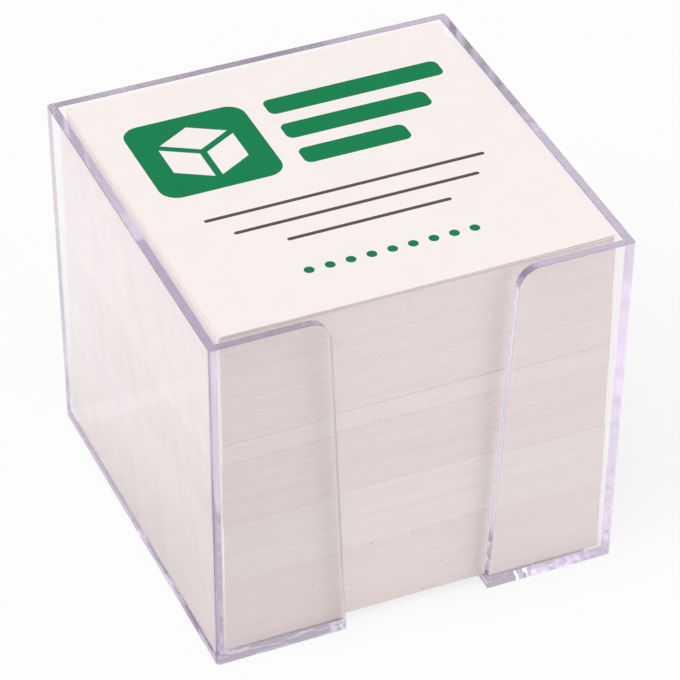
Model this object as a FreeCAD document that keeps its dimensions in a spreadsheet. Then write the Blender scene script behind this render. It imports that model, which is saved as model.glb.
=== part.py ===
# Clear plastic memo box with a loose block of note paper and a cover card.
# Millimetres, +Z up, origin at the centre of the underside, finger slot towards -Y.
import FreeCAD, Part
import math
import os

import Sketcher

V = FreeCAD.Vector

doc = FreeCAD.newDocument("memo_box")

# Driving dimensions: alias, value, what it measures.
DIMENSIONS = [
    ("sheet_side", 85.0, "side of a square note sheet"),
    ("sheet_thickness", 0.1, "one sheet of 80 gram paper"),
    ("sheet_stray", 0.03, "furthest that a sheet lies off its lift's centre"),
    ("lift_shift", 0.08, "how far each lift lies off the box's centre"),
    ("lift_first_bearing", 80.0, "degrees, the way the lowest lift is shifted"),
    ("lift_bearing_step", 137.5, "degrees from one lift's bearing to the next"),
    ("lift_1_height", 18.0, "lowest lift, filled with whole sheets"),
    ("lift_2_height", 15.0, "second lift, filled with whole sheets"),
    ("lift_3_height", 16.0, "third lift, filled with whole sheets"),
    ("lift_4_height", 5.0, "thin fourth lift, filled with whole sheets"),
    ("lift_5_height", 10.0, "fifth lift, filled with whole sheets"),
    ("lift_6_height", 15.5, "highest lift, filled with whole sheets"),
    ("loose_sheet_turn", 0.12, "degrees, the most that a loose sheet on top lies askew"),
    ("card_inset", 0.05, "cover card smaller than the sheets, each side"),
    ("card_thickness", 0.45, "cover card"),
    ("card_turn", 0.25, "degrees, how far the cover card lies askew"),
    ("paper_clearance", 0.5, "gap from paper to wall at the floor, each side"),
    ("wall_thickness", 1.95, "four walls of the box"),
    ("floor_thickness", 2.0, "floor of the box"),
    ("rim_margin", 0.1, "rim above the topmost sheet"),
    ("draft_angle", 0.6, "degrees, how much the walls lean outwards"),
    ("corner_radius", 0.8, "outer upright corners"),
    ("inner_corner_radius", 0.3, "inner upright corners"),
    ("edge_radius", 0.15, "rim, slot, notch and outer bottom edges"),
    ("slot_top_width", 40.5, "finger slot at the rim, before its corners are rounded"),
    ("slot_bottom_width", 32.2, "finger slot at the floor, and the notch in the floor"),
    ("slot_corner_radius", 5.0, "rounded upper corners of the finger slot"),
    ("notch_depth", 20.0, "notch in the floor, back from the inside of the front wall"),
    ("notch_corner_radius", 6.0, "rounded back corners of the notch"),
]

LIFT_COUNT = 6
LOOSE_SHEET_COUNT = 5

# Scatter of the sheets: mostly leaf by leaf, partly by handfuls that moved together.
GOLDEN_ANGLE = math.radians(137.5)
HANDFUL_SHEETS = 12
SINGLE_SHARE = 0.6
HANDFUL_SHARE = 1 - SINGLE_SHARE

# Lengths that differ by less than this, in millimetres, count as equal.
TOLERANCE = 1e-6

# A number of sheets that falls short of a whole number by less than this is that number.
COUNT_TOLERANCE = 1e-6

sheet = doc.addObject("Spreadsheet::Sheet", "dims")
for row, (alias, value, meaning) in enumerate(DIMENSIONS, start=1):
    sheet.set(f"A{row}", meaning)
    sheet.set(f"B{row}", str(value))
    sheet.setAlias(f"B{row}", alias)
doc.recompute()


def size(alias):
    return float(sheet.get(alias))


def origin_plane(body, role):
    return next(f for f in body.Origin.OriginFeatures if f.Role == role)


def new_body(name):
    body = doc.addObject("PartDesign::Body", name)
    body.Label = name
    return body


def new_sketch(body, name, role, offset="0"):
    # A sketch on one of the body's own planes, moved along that plane's normal by an expression.
    sketch = body.newObject("Sketcher::SketchObject", name)
    sketch.AttachmentSupport = (origin_plane(body, role), [""])
    sketch.MapMode = "FlatFace"
    sketch.setExpression("AttachmentOffset.Base.z", offset)
    return sketch


def closed_outline(sketch, points):
    # Straight lines from point to point, joined at their ends.
    count = len(points)
    for i in range(count):
        start = V(*points[i], 0)
        end = V(*points[(i + 1) % count], 0)
        sketch.addGeometry(Part.LineSegment(start, end), False)
    for i in range(count):
        sketch.addConstraint(Sketcher.Constraint("Coincident", i, 2, (i + 1) % count, 1))


def place_corner(sketch, line, axis, value, name, expression):
    # Ties one coordinate of a line's start point to an expression.
    sketch.addConstraint(Sketcher.Constraint(f"Distance{axis}", -1, 1, line, 1, value))
    index = sketch.ConstraintCount - 1
    sketch.renameConstraint(index, name)
    sketch.setExpression(f"Constraints.{name}", expression)


def outline_from_corners(sketch, corners):
    # corners: for each point, its name and (value, expression) along X and along Y.
    closed_outline(sketch, [(x[0], y[0]) for name, x, y in corners])
    for line, (name, x, y) in enumerate(corners):
        place_corner(sketch, line, "X", x[0], f"{name}_x", x[1])
        place_corner(sketch, line, "Y", y[0], f"{name}_y", y[1])


def square_sketch(body, name, half_value, half_expression, offset="0"):
    sketch = new_sketch(body, name, "XY_Plane", offset)
    low = (-half_value, f"-({half_expression})")
    high = (half_value, half_expression)
    outline_from_corners(sketch, [
        ("front_left", low, low),
        ("front_right", high, low),
        ("back_right", high, high),
        ("back_left", low, high),
    ])
    return sketch


def fillet(body, name, base, radius_alias, wanted):
    # Rounds the edges of base for which wanted(edge) is true.
    doc.recompute()
    names = [f"Edge{i}" for i, e in enumerate(base.Shape.Edges, start=1) if wanted(e)]
    feature = body.newObject("PartDesign::Fillet", name)
    feature.Base = (base, names)
    feature.setExpression("Radius", f"dims.{radius_alias}")
    doc.recompute()
    return feature


def ends(edge):
    return edge.Vertexes[0].Point, edge.Vertexes[-1].Point


def face_names(base, wanted):
    return [f"Face{i}" for i, f in enumerate(base.Shape.Faces, start=1) if wanted(f)]


# Heights: whole sheets stack up from the floor, and the box is made to suit the stack.
LIFT_SHEETS = " + ".join(
    f"floor(dims.lift_{n}_height / dims.sheet_thickness + {COUNT_TOLERANCE})"
    for n in range(1, LIFT_COUNT + 1))
LIFTS_TOP = f"dims.floor_thickness + ({LIFT_SHEETS}) * dims.sheet_thickness"
SHEETS_TOP = f"{LIFTS_TOP} + {LOOSE_SHEET_COUNT} * dims.sheet_thickness"
BOX_HEIGHT = f"{SHEETS_TOP} + dims.rim_margin"


def sheets_in_lift(number):
    return math.floor(size(f"lift_{number}_height") / size("sheet_thickness") + COUNT_TOLERANCE)


sheet_count = sum(sheets_in_lift(n) for n in range(1, LIFT_COUNT + 1)) + LOOSE_SHEET_COUNT
box_height = size("floor_thickness") + sheet_count * size("sheet_thickness") + size("rim_margin")

# Box half widths, at the height where each is drawn; from there the walls lean outwards.
LEAN = "tan(dims.draft_angle * 1deg)"
INNER_AT_FLOOR = "dims.sheet_side / 2 + dims.paper_clearance"
OUTER_AT_BASE = f"{INNER_AT_FLOOR} + dims.wall_thickness - dims.floor_thickness * {LEAN}"

lean = math.tan(math.radians(size("draft_angle")))
inner_at_floor = size("sheet_side") / 2 + size("paper_clearance")
outer_at_base = inner_at_floor + size("wall_thickness") - size("floor_thickness") * lean
inner_at_rim = inner_at_floor + (box_height - size("floor_thickness")) * lean
mid_wall_at_rim = inner_at_rim + size("wall_thickness") / 2


def leaning_walls(body, name, base, faces, neutral, outwards):
    # Tilts upright faces by the draft angle about the edges where they meet the neutral plane.
    draft = body.newObject("PartDesign::Draft", name)
    draft.Base = (base, faces)
    draft.NeutralPlane = neutral
    draft.Reversed = outwards
    draft.setExpression("Angle", "dims.draft_angle * 1deg")
    doc.recompute()
    return draft


def upright(face):
    normal = face.normalAt(0, 0)
    return abs(normal.z) < math.hypot(normal.x, normal.y)


def make_holder_box():
    body = new_body("holder_box")

    # Outer block, wider at the rim than at the base.
    block = body.newObject("PartDesign::Pad", "outer_block")
    block.Profile = square_sketch(body, "base_outline", outer_at_base, OUTER_AT_BASE)
    block.setExpression("Length", BOX_HEIGHT)
    doc.recompute()
    sides = face_names(block, upright)
    ground = (origin_plane(body, "XY_Plane"), [""])
    block = leaning_walls(body, "outer_lean", block, sides, ground, True)

    def standing(edge):
        a, b = ends(edge)
        return abs(a.z - b.z) > box_height / 2

    block = fillet(body, "outer_corners", block, "corner_radius", standing)

    # Hollow for the paper, open at the rim.
    hollow = body.newObject("PartDesign::Pocket", "paper_hollow")
    hollow.Profile = square_sketch(
        body, "floor_outline", inner_at_floor, INNER_AT_FLOOR, "dims.floor_thickness")
    hollow.Type = "ThroughAll"
    hollow.Reversed = True
    doc.recompute()

    def inner_side(face):
        centre = face.CenterOfMass
        return upright(face) and max(abs(centre.x), abs(centre.y)) < inner_at_floor + TOLERANCE

    def floor_face(face):
        return not upright(face) and abs(face.CenterOfMass.z - size("floor_thickness")) < TOLERANCE

    floor = (hollow, face_names(hollow, floor_face))
    hollow = leaning_walls(body, "inner_lean", hollow, face_names(hollow, inner_side), floor, False)

    def inner_standing(edge):
        a, b = ends(edge)
        return standing(edge) and max(abs(a.x), abs(b.x), abs(a.y), abs(b.y)) < mid_wall_at_rim

    hollow = fillet(body, "inner_corners", hollow, "inner_corner_radius", inner_standing)

    # Finger slot, narrower at the bottom: it opens the front wall and runs on as a notch in the
    # floor, so that a fingertip can push the paper up from below.
    slot_outline = new_sketch(body, "slot_outline", "XZ_Plane", f"{INNER_AT_FLOOR} - dims.notch_depth")
    bottom_right = (size("slot_bottom_width") / 2, "dims.slot_bottom_width / 2")
    bottom_left = (-bottom_right[0], "-dims.slot_bottom_width / 2")
    top_right = (size("slot_top_width") / 2, "dims.slot_top_width / 2")
    top_left = (-top_right[0], "-dims.slot_top_width / 2")
    ground_level = (0, "0")
    rim_level = (box_height, BOX_HEIGHT)
    outline_from_corners(slot_outline, [
        ("bottom_left", bottom_left, ground_level),
        ("bottom_right", bottom_right, ground_level),
        ("top_right", top_right, rim_level),
        ("top_left", top_left, rim_level),
    ])
    slot = body.newObject("PartDesign::Pocket", "finger_slot")
    slot.Profile = slot_outline
    slot.Type = "ThroughAll"
    slot.Reversed = True
    doc.recompute()

    def slot_corner(edge):
        a, b = ends(edge)
        return all(abs(abs(p.x) - top_right[0]) + abs(p.z - rim_level[0]) < TOLERANCE for p in (a, b))

    slot = fillet(body, "slot_corners", slot, "slot_corner_radius", slot_corner)

    notch_back = size("notch_depth") - inner_at_floor

    def notch_corner(edge):
        a, b = ends(edge)
        on_back = abs(a.y - notch_back) + abs(b.y - notch_back) < TOLERANCE
        return on_back and abs(a.z - b.z) > size("floor_thickness") / 2

    slot = fillet(body, "notch_corners", slot, "notch_corner_radius", notch_corner)

    # Softened edges: the rim, from there over the slot's corners and down its sides, round the
    # notch and along the outer bottom edge.
    def at_level(edge, level):
        a, b = ends(edge)
        return abs(a.z - level) + abs(b.z - level) < TOLERANCE

    def across_wall(edge):
        # Edges from one side of a wall to the other, where a rounded slot corner meets the rim.
        a, b = ends(edge)
        return abs(a.x - b.x) < TOLERANCE and abs(a.y - b.y) < 2 * size("wall_thickness")

    def in_slot(edge):
        return all(abs(p.x) < top_right[0] and p.y < notch_back + TOLERANCE for p in ends(edge))

    def soft(edge):
        if at_level(edge, box_height):
            return not across_wall(edge)
        if at_level(edge, 0):
            return True
        return at_level(edge, size("floor_thickness")) and in_slot(edge)

    fillet(body, "soft_edges", slot, "edge_radius", soft)
    return body


def stray(index, phase):
    # A number from -1 to 1 for one sheet; the phase sets the two directions apart.
    single = math.sin(index * GOLDEN_ANGLE + phase)
    handful = math.sin(index * GOLDEN_ANGLE / HANDFUL_SHEETS + 2 * phase)
    return SINGLE_SHARE * single + HANDFUL_SHARE * handful


def lift_centre(number):
    # Lifts are shifted by turns, so that no two in a row lie alike.
    bearing = math.radians(size("lift_first_bearing") + (number - 1) * size("lift_bearing_step"))
    return V(-math.cos(bearing), math.sin(bearing), 0) * size("lift_shift")


def make_lift(number, first_sheet):
    # One lift of loose sheets, each a solid of its own, lying face to face.
    side = size("sheet_side")
    thick = size("sheet_thickness")
    centre = lift_centre(number)
    sheets = []
    for index in range(first_sheet, first_sheet + sheets_in_lift(number)):
        corner = V(-side / 2, -side / 2, 0) + centre
        corner += V(stray(index, 0), stray(index, 1), 0) * size("sheet_stray")
        corner.z = size("floor_thickness") + index * thick
        sheets.append(Part.makeBox(side, side, thick, corner))
    lift = doc.addObject("Part::Feature", f"paper_lift_{number}")
    lift.Label = f"paper_lift_{number}"
    lift.Shape = Part.makeCompound(sheets)
    return lift, first_sheet + len(sheets)


def make_leaf(name, half, thickness, height, turn):
    # A single square leaf, lying flat at a height and turned about its centre; half is its half width
    # as a value and an expression, and the other sizes are expressions.
    body = new_body(name)
    outline = square_sketch(body, f"{name}_outline", *half)
    pad = body.newObject("PartDesign::Pad", f"{name}_pad")
    pad.Profile = outline
    pad.setExpression("Length", thickness)
    body.setExpression("Placement.Base.z", height)
    body.Placement.Rotation = FreeCAD.Rotation(V(0, 0, 1), 0)
    body.setExpression("Placement.Rotation.Angle", turn)
    return body


parts = [make_holder_box()]

next_sheet = 0
for number in range(1, LIFT_COUNT + 1):
    lift, next_sheet = make_lift(number, next_sheet)
    parts.append(lift)

sheet_half = (size("sheet_side") / 2, "dims.sheet_side / 2")
for number in range(1, LOOSE_SHEET_COUNT + 1):
    height = f"{LIFTS_TOP} + {number - 1} * dims.sheet_thickness"
    turn = f"dims.loose_sheet_turn * {stray(number, 0):.3f} * 1deg"
    parts.append(make_leaf(f"note_sheet_{number}", sheet_half, "dims.sheet_thickness", height, turn))

card_half = (sheet_half[0] - size("card_inset"), "dims.sheet_side / 2 - dims.card_inset")
card_turn = "dims.card_turn * 1deg"
parts.append(make_leaf("cover_card", card_half, "dims.card_thickness", SHEETS_TOP, card_turn))

doc.recompute()

for thing in doc.Objects:
    if "Invalid" in thing.State or "Error" in thing.State:
        raise RuntimeError(f"{thing.Label} did not build: {thing.State}")
for piece in parts:
    if piece.Shape.isNull() or not piece.Shape.isValid():
        raise RuntimeError(f"{piece.Label} has no valid shape")

os.makedirs("parts", exist_ok=True)
for piece in parts:
    piece.Shape.exportStep(f"parts/{piece.Label}.step")
    print(piece.Label, len(piece.Shape.Solids), "solids", round(piece.Shape.Volume, 2), "mm3")
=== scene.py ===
import math
import random

import bpy
from mathutils import Matrix, Vector
from mathutils.geometry import delaunay_2d_cdt

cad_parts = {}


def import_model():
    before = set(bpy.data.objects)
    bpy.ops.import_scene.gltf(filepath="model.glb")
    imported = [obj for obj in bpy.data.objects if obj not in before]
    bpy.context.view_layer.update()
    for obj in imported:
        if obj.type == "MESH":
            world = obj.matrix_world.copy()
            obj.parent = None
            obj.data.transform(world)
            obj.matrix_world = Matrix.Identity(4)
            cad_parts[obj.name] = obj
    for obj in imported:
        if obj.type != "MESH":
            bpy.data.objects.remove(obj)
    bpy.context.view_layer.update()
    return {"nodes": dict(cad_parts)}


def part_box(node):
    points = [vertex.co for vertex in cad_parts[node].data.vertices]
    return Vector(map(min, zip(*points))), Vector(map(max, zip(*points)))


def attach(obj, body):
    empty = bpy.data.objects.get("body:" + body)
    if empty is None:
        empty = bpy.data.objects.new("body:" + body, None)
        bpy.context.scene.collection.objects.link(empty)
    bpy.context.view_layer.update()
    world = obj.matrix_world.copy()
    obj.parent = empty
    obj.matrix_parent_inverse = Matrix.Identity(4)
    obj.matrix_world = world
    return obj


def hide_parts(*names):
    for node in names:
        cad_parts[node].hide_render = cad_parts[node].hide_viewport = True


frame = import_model()
scene = bpy.context.scene
MM = 0.001
WHITE = (1.0, 1.0, 1.0, 1.0)

# Places on the box. A pair holds the two ends of a soft border.
SLOT_HALF = 0.0161
SLOT_LEAN = 0.0505
PLATE_TOP = 0.003
WALL_INSIDE = 0.0426
WALL_OUTSIDE = 0.0458
NOTCH_SIDE = (0.0155, 0.0165)
NOTCH_BACK = (-0.0235, -0.0225)
NOTCH_LIGHT = 0.5

# Leaves of the lifts
LEAF_THICKNESS = 0.1 * MM
LEAF_HALF = 42.46 * MM
LEAF_FILL = 0.92
STRAY_MM = 0.016
STRAY_KEPT = 0.7
TURN_DEGREES = 0.02
SIDE_STEPS = 8

# Cover card
CARD_TURN = math.radians(0.25)
CARD_THICKNESS_MM = 0.25
CARD_GRID = 24

SQUARE_SIDES = ((-1, -1, 1, -1), (1, -1, 1, 1), (1, 1, -1, 1), (-1, 1, -1, -1))


# Node helpers

def new_tree(name):
    mat = bpy.data.materials.new(name)
    mat.use_nodes = True
    nt = mat.node_tree
    nt.nodes.clear()
    return mat, nt


def node(nt, kind, **values):
    n = nt.nodes.new(kind)
    for key, value in values.items():
        setattr(n, key, value)
    return n


def set_inputs(n, values):
    for key, value in values.items():
        n.inputs[key].default_value = value
    return n


def surface(nt, shader):
    out = nt.nodes.new("ShaderNodeOutputMaterial")
    nt.links.new(shader, out.inputs["Surface"])
    return out


def principled(nt, **values):
    n = nt.nodes.new("ShaderNodeBsdfPrincipled")
    for key, value in values.items():
        n.inputs[key.replace("_", " ")].default_value = value
    return n


def scaled_noise(nt, vector, scale, detail=2.0):
    mapping = set_inputs(node(nt, "ShaderNodeMapping"), {"Scale": scale})
    nt.links.new(vector, mapping.inputs["Vector"])
    noise = set_inputs(node(nt, "ShaderNodeTexNoise"), {"Scale": 1.0, "Detail": detail, "Roughness": 0.5})
    nt.links.new(mapping.outputs["Vector"], noise.inputs["Vector"])
    return noise.outputs["Fac"]


def ramp(nt, value, low, high, to_low, to_high):
    ends = {"From Min": low, "From Max": high, "To Min": to_low, "To Max": to_high}
    m = set_inputs(node(nt, "ShaderNodeMapRange"), ends)
    nt.links.new(value, m.inputs["Value"])
    return m.outputs["Result"]


def math_node(nt, operation, a, b=0.0):
    m = node(nt, "ShaderNodeMath", operation=operation)
    for socket, value in zip(m.inputs, (a, b)):
        if isinstance(value, (int, float)):
            socket.default_value = value
        else:
            nt.links.new(value, socket)
    return m.outputs["Value"]


def plus(nt, a, b):
    return math_node(nt, "ADD", a, b)


def times(nt, a, b):
    return math_node(nt, "MULTIPLY", a, b)


def larger(nt, a, b):
    return math_node(nt, "MAXIMUM", a, b)


def below(nt, value, limit):
    return math_node(nt, "LESS_THAN", value, limit)


def above(nt, value, limit):
    return math_node(nt, "GREATER_THAN", value, limit)


def unsigned(nt, value):
    return math_node(nt, "ABSOLUTE", value)


def mix_colour(nt, factor, a, b):
    m = node(nt, "ShaderNodeMix", data_type="RGBA")
    nt.links.new(factor, m.inputs["Factor"])
    for socket, value in ((m.inputs["A"], a), (m.inputs["B"], b)):
        if isinstance(value, tuple):
            socket.default_value = value
        else:
            nt.links.new(value, socket)
    return m.outputs["Result"]


def mix_shader(nt, factor, a, b):
    m = node(nt, "ShaderNodeMixShader")
    nt.links.new(factor, m.inputs["Fac"])
    nt.links.new(a, m.inputs[1])
    nt.links.new(b, m.inputs[2])
    return m.outputs["Shader"]


def split(nt, vector):
    parts = node(nt, "ShaderNodeSeparateXYZ")
    nt.links.new(vector, parts.inputs["Vector"])
    return parts.outputs


def own_place(nt):
    return node(nt, "ShaderNodeTexCoord").outputs["Object"]


def facing(nt):
    return split(nt, node(nt, "ShaderNodeNewGeometry").outputs["True Normal"])


def bumped(nt, height, strength, distance):
    bump = set_inputs(node(nt, "ShaderNodeBump"), {"Strength": strength, "Distance": distance})
    nt.links.new(height, bump.inputs["Height"])
    return bump.outputs["Normal"]


def from_middle(nt, at):
    # How far out from the box's middle, measured square to its walls.
    return larger(nt, unsigned(nt, at["X"]), unsigned(nt, at["Y"]))


def clear_ray(nt, path):
    # 1 for what is seen in or through the plastic.
    return larger(nt, path.outputs["Is Glossy Ray"], path.outputs["Is Transmission Ray"])


def over_notch(nt, at):
    # Painted light where the notch in the box's floor lets light in, and 0 elsewhere.
    across = ramp(nt, unsigned(nt, at["X"]), *NOTCH_SIDE, NOTCH_LIGHT, 0.0)
    return times(nt, across, ramp(nt, at["Y"], *NOTCH_BACK, 1.0, 0.0))


# Materials

def slot_edge(nt, at):
    # 1 along the slot's left edge, above the floor plate, and 0 elsewhere.
    half_edge = 0.0005
    upright = plus(nt, at["X"], times(nt, at["Z"], SLOT_LEAN))
    edge = below(nt, unsigned(nt, plus(nt, upright, SLOT_HALF)), half_edge)
    front = times(nt, below(nt, at["Y"], 0.0), above(nt, at["Z"], PLATE_TOP))
    return times(nt, edge, front)


def light_through(nt, at):
    # Light for other surfaces: it crosses the walls almost whole, but what comes in at the rim or out
    # at the foot has run the height of a wall, and is dimmer and more violet. The sides of the slot
    # turn most light from the right back into the wall.
    across_wall = (0.975, 0.972, 0.972, 1.0)
    down_wall = (0.64, 0.575, 0.68, 1.0)
    slot_side = (0.3, 0.28, 0.31, 1.0)
    near_slot = 0.03
    normal = facing(nt)
    level = above(nt, times(nt, normal["Z"], normal["Z"]), 0.5)
    end = times(nt, level, above(nt, from_middle(nt, at), WALL_INSIDE))
    cut = times(nt, below(nt, normal["X"], -0.7), below(nt, unsigned(nt, at["X"]), near_slot))
    return mix_colour(nt, cut, mix_colour(nt, end, across_wall, down_wall), slot_side)


def clear_plastic():
    # Clear moulded polystyrene with a violet cast that deepens along the walls.
    mat, nt = new_tree("clear_plastic")
    where = own_place(nt)
    at = split(nt, where)
    glass = principled(nt, Base_Color=WHITE, Metallic=0.0, Transmission_Weight=1.0, IOR=1.57)
    # Faint waves from the mould, stronger in the floor.
    waves = scaled_noise(nt, where, (45.0, 45.0, 30.0))
    height = times(nt, waves, ramp(nt, at["Z"], 0.0018, 0.004, 12.0, 2.5))
    nt.links.new(bumped(nt, height, 0.08, 0.0004), glass.inputs["Normal"])
    # Uneven polish, with a matt slot edge that takes no hard glint.
    smears = scaled_noise(nt, where, (90.0, 90.0, 60.0), detail=4.0)
    polish = ramp(nt, at["Z"], 0.002, 0.006, 0.012, 0.07)
    gloss = times(nt, ramp(nt, smears, 0.35, 0.75, 0.65, 1.0), polish)
    gloss = larger(nt, gloss, times(nt, slot_edge(nt, at), 0.35))
    nt.links.new(gloss, glass.inputs["Roughness"])
    see = node(nt, "ShaderNodeBsdfTransparent")
    nt.links.new(light_through(nt, at), see.inputs["Color"])
    path = node(nt, "ShaderNodeLightPath")
    by_lamp = mix_shader(nt, path.outputs["Is Shadow Ray"], glass.outputs["BSDF"], see.outputs["BSDF"])
    by_bounce = mix_shader(nt, path.outputs["Is Diffuse Ray"], by_lamp, see.outputs["BSDF"])
    out = surface(nt, by_bounce)
    tint = set_inputs(node(nt, "ShaderNodeVolumeAbsorption"),
                      {"Color": (0.855, 0.767, 0.908, 1.0), "Density": 12.0})
    nt.links.new(tint.outputs["Volume"], out.inputs["Volume"])
    return mat


def edge_group():
    # Cut edges of stacked sheets: a shade from fine level streaks and broad faint bands, dark specks
    # and a height.
    group = bpy.data.node_groups.new("sheet_edges", "ShaderNodeTree")
    for name in ("Shade", "Specks", "Height"):
        group.interface.new_socket(name, in_out="OUTPUT", socket_type="NodeSocketFloat")
    out = group.nodes.new("NodeGroupOutput")
    where = own_place(group)
    streaks = scaled_noise(group, where, (60.0, 60.0, 5200.0), detail=3.0)
    bands = scaled_noise(group, where, (6.0, 6.0, 420.0), detail=1.0)
    dots = scaled_noise(group, where, (1500.0, 1500.0, 2600.0), detail=0.0)
    fine = ramp(group, streaks, 0.25, 0.75, 0.0, 0.75)
    broad = ramp(group, bands, 0.25, 0.75, 0.0, 0.25)
    group.links.new(plus(group, fine, broad), out.inputs["Shade"])
    group.links.new(ramp(group, dots, 0.83, 0.88, 0.0, 0.6), out.inputs["Specks"])
    group.links.new(streaks, out.inputs["Height"])
    return group


def note_paper(name, edges, dark, light):
    speck = (0.35, 0.29, 0.29, 1.0)
    mat, nt = new_tree(name)
    g = node(nt, "ShaderNodeGroup", node_tree=edges)
    paper = principled(nt, Roughness=0.9, Specular_IOR_Level=0.2)
    body = mix_colour(nt, g.outputs["Shade"], dark, light)
    nt.links.new(mix_colour(nt, g.outputs["Specks"], body, speck), paper.inputs["Base Color"])
    nt.links.new(bumped(nt, g.outputs["Height"], 0.25, 0.00005), paper.inputs["Normal"])
    surface(nt, paper.outputs["BSDF"])
    return mat


def tooth_group():
    # Faint tooth of board and paper: a shade from 0 to 1 and a height.
    group = bpy.data.node_groups.new("board_tooth", "ShaderNodeTree")
    for name in ("Shade", "Height"):
        group.interface.new_socket(name, in_out="OUTPUT", socket_type="NodeSocketFloat")
    out = group.nodes.new("NodeGroupOutput")
    where = own_place(group)
    cloud = scaled_noise(group, where, (140.0, 140.0, 140.0), detail=3.0)
    fibre = scaled_noise(group, where, (2600.0, 2600.0, 2600.0))
    group.links.new(cloud, out.inputs["Shade"])
    group.links.new(fibre, out.inputs["Height"])
    return group


def toothed(nt, tooth, rough):
    # Matt board or paper with the tooth's height on it, and the tooth's shade.
    g = node(nt, "ShaderNodeGroup", node_tree=tooth)
    board = principled(nt, Roughness=rough, Specular_IOR_Level=0.15)
    nt.links.new(bumped(nt, g.outputs["Height"], 0.12, 0.00003), board.inputs["Normal"])
    surface(nt, board.outputs["BSDF"])
    return board, g.outputs["Shade"]


def printed(name, tooth, dark, light, rough):
    mat, nt = new_tree(name)
    board, shade = toothed(nt, tooth, rough)
    nt.links.new(mix_colour(nt, shade, dark, light), board.inputs["Base Color"])
    return mat


def loose_sheet(tooth, face, painted_shade):
    # Note paper with painted shade on its front edges, standing in for the card's shade on them.
    mat, nt = new_tree("loose_sheet")
    paper, _ = toothed(nt, tooth, 0.85)
    # Faces that look to the front take the darker colour: painted shade.
    front = below(nt, facing(nt)["Y"], -0.5)
    nt.links.new(mix_colour(nt, front, face, painted_shade), paper.inputs["Base Color"])
    return mat


def underside(colour):
    # Lowest sheet from below: plastic shows it with a painted glow over the notch, standing in for light.
    mat, nt = new_tree("sheet_underside")
    paper = principled(nt, Base_Color=colour, Roughness=0.85, Specular_IOR_Level=0.15)
    painted_glow = set_inputs(node(nt, "ShaderNodeEmission"), {"Color": colour, "Strength": 1.0})
    clear = clear_ray(nt, node(nt, "ShaderNodeLightPath"))
    seen = times(nt, clear, over_notch(nt, split(nt, own_place(nt))))
    surface(nt, mix_shader(nt, seen, paper.outputs["BSDF"], painted_glow.outputs["Emission"]))
    return mat


PLASTIC = clear_plastic()
EDGES = edge_group()
PAPER = note_paper("note_paper", EDGES, (0.84, 0.731, 0.729, 1.0), (0.93, 0.812, 0.81, 1.0))
PALE_PAPER = note_paper("note_paper_pale", EDGES, (0.86, 0.762, 0.752, 1.0), (0.94, 0.836, 0.826, 1.0))
CREAM_PAPER = note_paper("note_paper_cream", EDGES, (0.848, 0.764, 0.755, 1.0), (0.939, 0.849, 0.838, 1.0))
DIM_PAPER = note_paper("note_paper_dim", EDGES, (0.825, 0.717, 0.715, 1.0), (0.915, 0.798, 0.796, 1.0))
TOOTH = tooth_group()
SHEET_COLOUR = (0.91, 0.836, 0.823, 1.0)
BOARD = printed("card_board", TOOTH, (0.905, 0.83, 0.815, 1.0), (0.95, 0.875, 0.86, 1.0), 0.6)
GREEN = printed("green_ink", TOOTH, (0.0, 0.185, 0.06, 1.0), (0.0, 0.225, 0.08, 1.0), 0.6)
FACE = printed("sheet_face", TOOTH, (0.885, 0.812, 0.80, 1.0), (0.935, 0.86, 0.847, 1.0), 0.85)
SHEET = loose_sheet(TOOTH, SHEET_COLOUR, (0.70, 0.62, 0.61, 1.0))
UNDERSIDE = underside(SHEET_COLOUR)
CORE = printed("board_core", TOOTH, (0.78, 0.70, 0.68, 1.0), (0.86, 0.78, 0.76, 1.0), 0.85)
GREY = printed("grey_ink", TOOTH, (0.07, 0.065, 0.07, 1.0), (0.10, 0.095, 0.10, 1.0), 0.5)


def dress(name, mat):
    for slot in frame["nodes"][name].material_slots:
        slot.material = mat


dress("holder_box", PLASTIC)
for name in frame["nodes"]:
    if name.startswith("note_sheet"):
        dress(name, SHEET)


# Meshes

def square_ring(steps):
    # Points round a square from -1 to 1, from its near left corner.
    ring = []
    for ax, ay, bx, by in SQUARE_SIDES:
        ring += [(ax + (bx - ax) * i / steps, ay + (by - ay) * i / steps) for i in range(steps)]
    return ring


def place_piece(title, verts, faces, mats, kinds, name):
    # One piece in place of a CAD node, with a material for each face.
    mesh = bpy.data.meshes.new(title)
    mesh.from_pydata(verts, [], faces)
    for mat in mats:
        mesh.materials.append(mat)
    mesh.polygons.foreach_set("material_index", kinds)
    mesh.validate()
    ob = bpy.data.objects.new(title, mesh)
    scene.collection.objects.link(ob)
    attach(ob, name)
    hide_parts(name)


# Lifts of note paper: every sheet its own leaf, a little out of true, with a groove where two lifts meet

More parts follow.
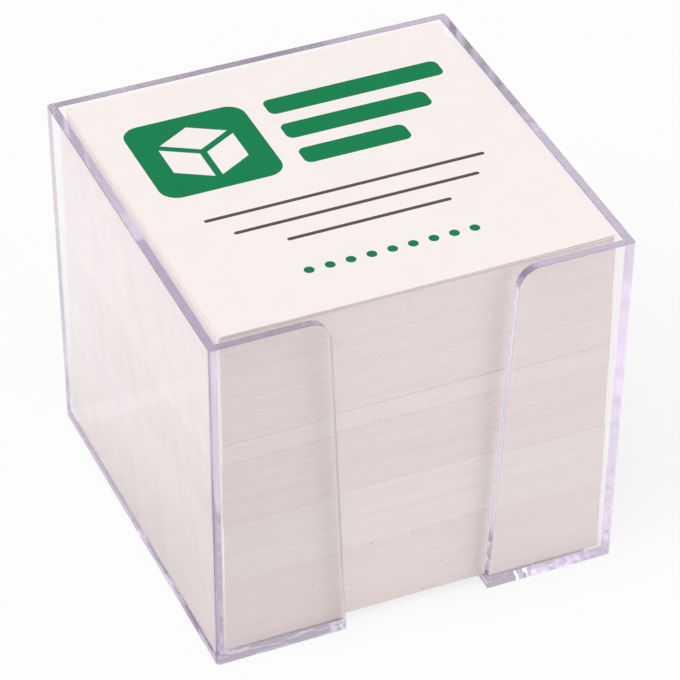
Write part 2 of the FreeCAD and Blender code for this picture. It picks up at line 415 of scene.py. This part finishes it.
def lift(name, title, mat, seed, grooved, groove, foot=0.0):
    # The topmost grooved leaves stand back by the groove, and the lowest starts above the foot, both in mm.
    low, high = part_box(name)
    rng = random.Random(seed)
    count = round((high.z - low.z) / LEAF_THICKNESS)
    start = low.z + foot * MM
    thick = (high.z - start) / count
    cx, cy = (low.x + high.x) / 2, (low.y + high.y) / 2
    ring = square_ring(SIDE_STEPS)
    n = len(ring)
    phase, _, _ = [rng.uniform(0, 2 * math.pi) for _ in range(3)]
    verts, faces = [], []
    dx = dy = 0.0
    for k in range(count):
        dx = STRAY_KEPT * dx + rng.gauss(0, STRAY_MM) * MM
        dy = STRAY_KEPT * dy + rng.gauss(0, STRAY_MM) * MM
        turn = math.radians(rng.gauss(0, TURN_DEGREES))
        set_back = count - 1 - k < grooved
        first = len(verts)
        for z in (start + k * thick, start + (k + LEAF_FILL) * thick):
            for i, (u, v) in enumerate(ring):
                back = 0.0
                if set_back:
                    back = groove * MM * (0.7 + 0.3 * math.sin(4 * math.pi * i / n + phase))
                x, y = u * (LEAF_HALF - back), v * (LEAF_HALF - back)
                verts.append((cx + dx + x - turn * y, cy + dy + y + turn * x, z))
        for i in range(n):
            j = (i + 1) % n
            faces.append((first + i, first + j, first + n + j, first + n + i))
        faces.append(tuple(first + n + i for i in range(n)))
        faces.append(tuple(first + i for i in reversed(range(n))))
    kinds = [1 if len(f) == n else 0 for f in faces]
    lowest = n + 1
    kinds[lowest] = 2
    place_piece(title, verts, faces, (mat, FACE, UNDERSIDE), kinds, name)


lift("paper_lift_1", "lift_1_sheets", PAPER, 11, 1, 0.25, foot=0.06)
lift("paper_lift_2", "lift_2_sheets", CREAM_PAPER, 12, 1, 0.22)
lift("paper_lift_3", "lift_3_sheets", DIM_PAPER, 13, 1, 0.22)
lift("paper_lift_4", "lift_4_sheets", PALE_PAPER, 14, 2, 0.25)
lift("paper_lift_5", "lift_5_sheets", PAPER, 15, 1, 0.2)
lift("paper_lift_6", "lift_6_sheets", PAPER, 16, 0, 0.0)


# Cover card: one leaf of board with a simple print of tile, bars, rules and dots

def rounded(cx, cy, w, h, r, steps=6):
    pts = []
    for sx, sy, start in ((1, 1, 0), (-1, 1, 90), (-1, -1, 180), (1, -1, 270)):
        for i in range(steps + 1):
            a = math.radians(start + 90 * i / steps)
            pts.append((cx + sx * (w / 2 - r) + r * math.cos(a), cy + sy * (h / 2 - r) + r * math.sin(a)))
    return pts


def circle(cx, cy, r, steps=20):
    angles = [2 * math.pi * i / steps for i in range(steps)]
    return [(cx + r * math.cos(a), cy + r * math.sin(a)) for a in angles]


def cube_faces(cx, cy, r, gap):
    # The three faces of a note cube seen from its corner, set a little apart.
    angles = [math.radians(30 + 60 * i) for i in range(6)]
    hexagon = [(math.cos(a), math.sin(a)) for a in angles]
    faces = []
    for a, b, c in ((0, 1, 2), (2, 3, 4), (4, 5, 0)):
        out = hexagon[b]
        corners = [hexagon[a], hexagon[b], hexagon[c], (0.0, 0.0)]
        faces.append([(cx + r * x + gap * out[0], cy + r * y + gap * out[1]) for x, y in corners])
    return faces


def card_print():
    # Outlines in mm with their material, from the lowest layer up.
    board, green, grey = 0, 1, 2
    layers = [(rounded(-22.0, 17.0, 27.0, 27.0, 4.0), green)]
    layers += [(f, board) for f in cube_faces(-22.0, 17.0, 8.6, 0.9)]
    for y, length in ((26.5, 40.0), (17.0, 33.0), (7.5, 24.0)):
        layers.append((rounded(-4.0 + length / 2, y, length, 5.6, 1.6), green))
    for y, length in ((-6.0, 62.0), (-12.0, 54.0), (-18.0, 36.0)):
        layers.append((rounded(0.0, y, length, 1.0, 0.49, 3), grey))
    for i in range(9):
        layers.append((circle(-18.0 + 4.5 * i, -29.0, 1.1), green))
    return layers


def cover_card():
    board, core = 0, 3
    low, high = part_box("cover_card")
    c, s = math.cos(CARD_TURN), math.sin(CARD_TURN)
    half = (high.x - low.x) / 2 / (c + s) / MM
    bottom = low.z / MM
    curl = high.z / MM - bottom - CARD_THICKNESS_MM

    # The print's outlines and a grid, cut into one flat net.
    points, polygons, inks = [], [], []
    card_edge = [(half * x, half * y) for x, y in square_ring(CARD_GRID)]
    for outline, ink in [(card_edge, board)] + card_print():
        first = len(points)
        points.extend(Vector(p) for p in outline)
        polygons.append(list(range(first, len(points))))
        inks.append(ink)
    inner = [half * (2 * i / CARD_GRID - 1) for i in range(1, CARD_GRID)]
    points.extend(Vector((x, y)) for x in inner for y in inner)
    flat, _, net, _, _, owners = delaunay_2d_cdt(points, [], polygons, 1, 1e-5)

    def on_card(p, z):
        # The board curls up a little towards its edges, most at its corners.
        reach = max(abs(p.x), abs(p.y)) / half
        z += curl * (0.35 + 0.65 * (p.x * p.y / half ** 2) ** 2) * reach ** 4
        return Vector(((c * p.x - s * p.y) * MM, (s * p.x + c * p.y) * MM, z * MM))

    verts = [on_card(p, bottom + CARD_THICKNESS_MM) for p in flat]
    count = len(verts)
    verts += [on_card(p, bottom) for p in flat]
    faces, kinds = [], []
    border = {}
    for face, owner in zip(net, owners):
        if not owner:
            continue
        faces.append(list(face))
        kinds.append(inks[max(owner)])
        faces.append([count + i for i in reversed(face)])
        kinds.append(board)
        for a, b in zip(face, list(face[1:]) + [face[0]]):
            if (b, a) in border:
                del border[(b, a)]
            else:
                border[(a, b)] = True
    for a, b in border:
        faces.append([b, a, count + a, count + b])
        kinds.append(core)
    place_piece("printed_card", verts, faces, (BOARD, GREEN, GREY, CORE), kinds, "cover_card")


cover_card()


# Stage, light and camera

def painted_floor_light(nt, at):
    # Painted light on the floor, as plastic shows it: none under the paper, which stays dark, more under the
    # walls and around them, most at the right and under the back wall, and white further out.
    paper_end = (0.0418, 0.0428)
    wall_end = (0.0452, 0.05)
    around = (0.06, 0.09)
    left_to_right = (-0.045, 0.045)
    back_inside = (0.0422, 0.0428)
    back_outside = (0.0452, 0.0458)
    under_plate = (0.0395, 0.040)
    reach = from_middle(nt, at)
    outward = plus(nt, ramp(nt, reach, *paper_end, 0.0, 0.62), ramp(nt, reach, *wall_end, 0.0, 0.33))
    in_box = ramp(nt, at["Y"], *back_outside, 1.0, 0.0)
    back_wall = times(nt, ramp(nt, at["Y"], *back_inside, 0.0, 0.9), in_box)
    lit = larger(nt, ramp(nt, at["X"], *left_to_right, 0.17, 1.0), back_wall)
    lit = larger(nt, lit, ramp(nt, reach, *around, 0.0, 1.0))
    pale = larger(nt, times(nt, outward, lit), over_notch(nt, at))
    # A painted pale line also lies inside the back wall, most at the left, and inside the right wall.
    behind = times(nt, ramp(nt, at["Y"], *under_plate, 0.0, 1.0), in_box)
    behind = times(nt, behind, ramp(nt, at["X"], -0.01, 0.03, 0.8, 0.0))
    right = ramp(nt, at["X"], *under_plate, 0.0, 0.6)
    return larger(nt, larger(nt, pale, behind), right)


def painted_floor_shade(nt, at):
    # Painted shade on the floor as plastic shows it, close to the left wall and at the left in front.
    beside = times(nt, below(nt, at["X"], -WALL_OUTSIDE), ramp(nt, at["X"], -0.095, -WALL_OUTSIDE, 0.0, 0.5))
    beside = times(nt, beside, ramp(nt, at["Y"], 0.0, 0.065, 1.0, 0.0))
    front = times(nt, below(nt, at["Y"], -WALL_OUTSIDE), ramp(nt, at["X"], -0.02, 0.04, 0.35, 0.0))
    return larger(nt, beside, front)


def floor():
    half, drop = 3.0, -0.0001
    mesh = bpy.data.meshes.new("studio_floor")
    corners = [(x * half, y * half, drop) for x, y, _, _ in SQUARE_SIDES]
    mesh.from_pydata(corners, [], [(0, 1, 2, 3)])
    ob = bpy.data.objects.new("studio_floor", mesh)
    mat, nt = new_tree("studio_floor")
    plain = principled(nt, Base_Color=(0.88, 0.88, 0.88, 1.0), Roughness=0.9, Specular_IOR_Level=0.0)
    # For rays in or through the plastic, the white emission adds painted light and the dim one painted shade
    # on the floor.
    white = set_inputs(node(nt, "ShaderNodeEmission"), {"Strength": 1.0})
    dim = set_inputs(node(nt, "ShaderNodeEmission"), {"Color": (0.2, 0.19, 0.19, 1.0), "Strength": 1.0})
    path = node(nt, "ShaderNodeLightPath")
    at = split(nt, own_place(nt))
    clear = clear_ray(nt, path)
    seen = plus(nt, times(nt, path.outputs["Is Camera Ray"], 0.8), times(nt, clear, painted_floor_light(nt, at)))
    bright = mix_shader(nt, seen, plain.outputs["BSDF"], white.outputs["Emission"])
    surface(nt, mix_shader(nt, times(nt, clear, painted_floor_shade(nt, at)), bright, dim.outputs["Emission"]))
    mesh.materials.append(mat)
    scene.collection.objects.link(ob)


def world():
    w = bpy.data.worlds.new("studio")
    scene.world = w
    w.use_nodes = True
    nt = w.node_tree
    nt.nodes.clear()
    path = node(nt, "ShaderNodeLightPath")
    light = set_inputs(node(nt, "ShaderNodeBackground"), {"Color": WHITE, "Strength": 0.55})
    white = set_inputs(node(nt, "ShaderNodeBackground"), {"Color": WHITE, "Strength": 1.0})
    # Plastic shows it white at the horizon, and dimmer towards the ceiling and the right.
    at = split(nt, node(nt, "ShaderNodeTexCoord").outputs["Generated"])
    upward = plus(nt, at["Z"], times(nt, at["X"], 0.3))
    clear = times(nt, clear_ray(nt, path), ramp(nt, upward, 0.5, 0.72, 1.0, 0.0))
    seen = larger(nt, path.outputs["Is Camera Ray"], clear)
    out = node(nt, "ShaderNodeOutputWorld")
    studio = mix_shader(nt, seen, light.outputs["Background"], white.outputs["Background"])
    nt.links.new(studio, out.inputs["Surface"])


def lamp(name, place, aim, side, watts):
    data = bpy.data.lights.new(name, "AREA")
    data.shape = "SQUARE"
    data.size = side
    data.energy = watts
    ob = bpy.data.objects.new(name, data)
    ob.location = place
    ob.rotation_euler = (Vector(aim) - Vector(place)).to_track_quat("-Z", "Y").to_euler()
    ob.visible_camera = False
    scene.collection.objects.link(ob)


def camera():
    # Fitted to the box's edges: angles in degrees, focal length in pixels of the image.
    azimuth, elevation, roll = (math.radians(a) for a in (-23.635, 37.613, 0.45))
    place = Vector((-0.24831, -0.57104, 0.51862))
    focal_pixels, image_width, sensor = 3728.361, 680, 36.0
    level = math.cos(elevation)
    back = Vector((math.sin(azimuth) * level, -math.cos(azimuth) * level, math.sin(elevation)))
    right0 = Vector((math.cos(azimuth), math.sin(azimuth), 0))
    up0 = back.cross(right0)
    right = right0 * math.cos(roll) + up0 * math.sin(roll)
    up = up0 * math.cos(roll) - right0 * math.sin(roll)
    data = bpy.data.cameras.new("camera")
    data.sensor_fit = "HORIZONTAL"
    data.sensor_width = sensor
    data.lens = sensor * focal_pixels / image_width
    data.clip_start = 0.01
    data.clip_end = 20.0
    ob = bpy.data.objects.new("camera", data)
    turn = Matrix((right, up, back)).transposed()
    ob.matrix_world = Matrix.Translation(place) @ turn.to_4x4()
    scene.collection.objects.link(ob)
    scene.camera = ob


floor()
world()
lamp("overhead", place=(-1.8, -0.41, 2.68), aim=(0.0, 0.0, 0.04), side=2.4, watts=65.8)
lamp("side_fill", place=(0.31, -0.228, 0.15), aim=(0.02, -0.043, 0.04), side=0.18, watts=0.24)
camera()
scene.view_settings.view_transform = "Standard"
# Light runs down the clear walls in many small reflections.
scene.cycles.max_bounces = 128
scene.cycles.glossy_bounces = 128
scene.cycles.transmission_bounces = 128
scene.cycles.transparent_max_bounces = 32
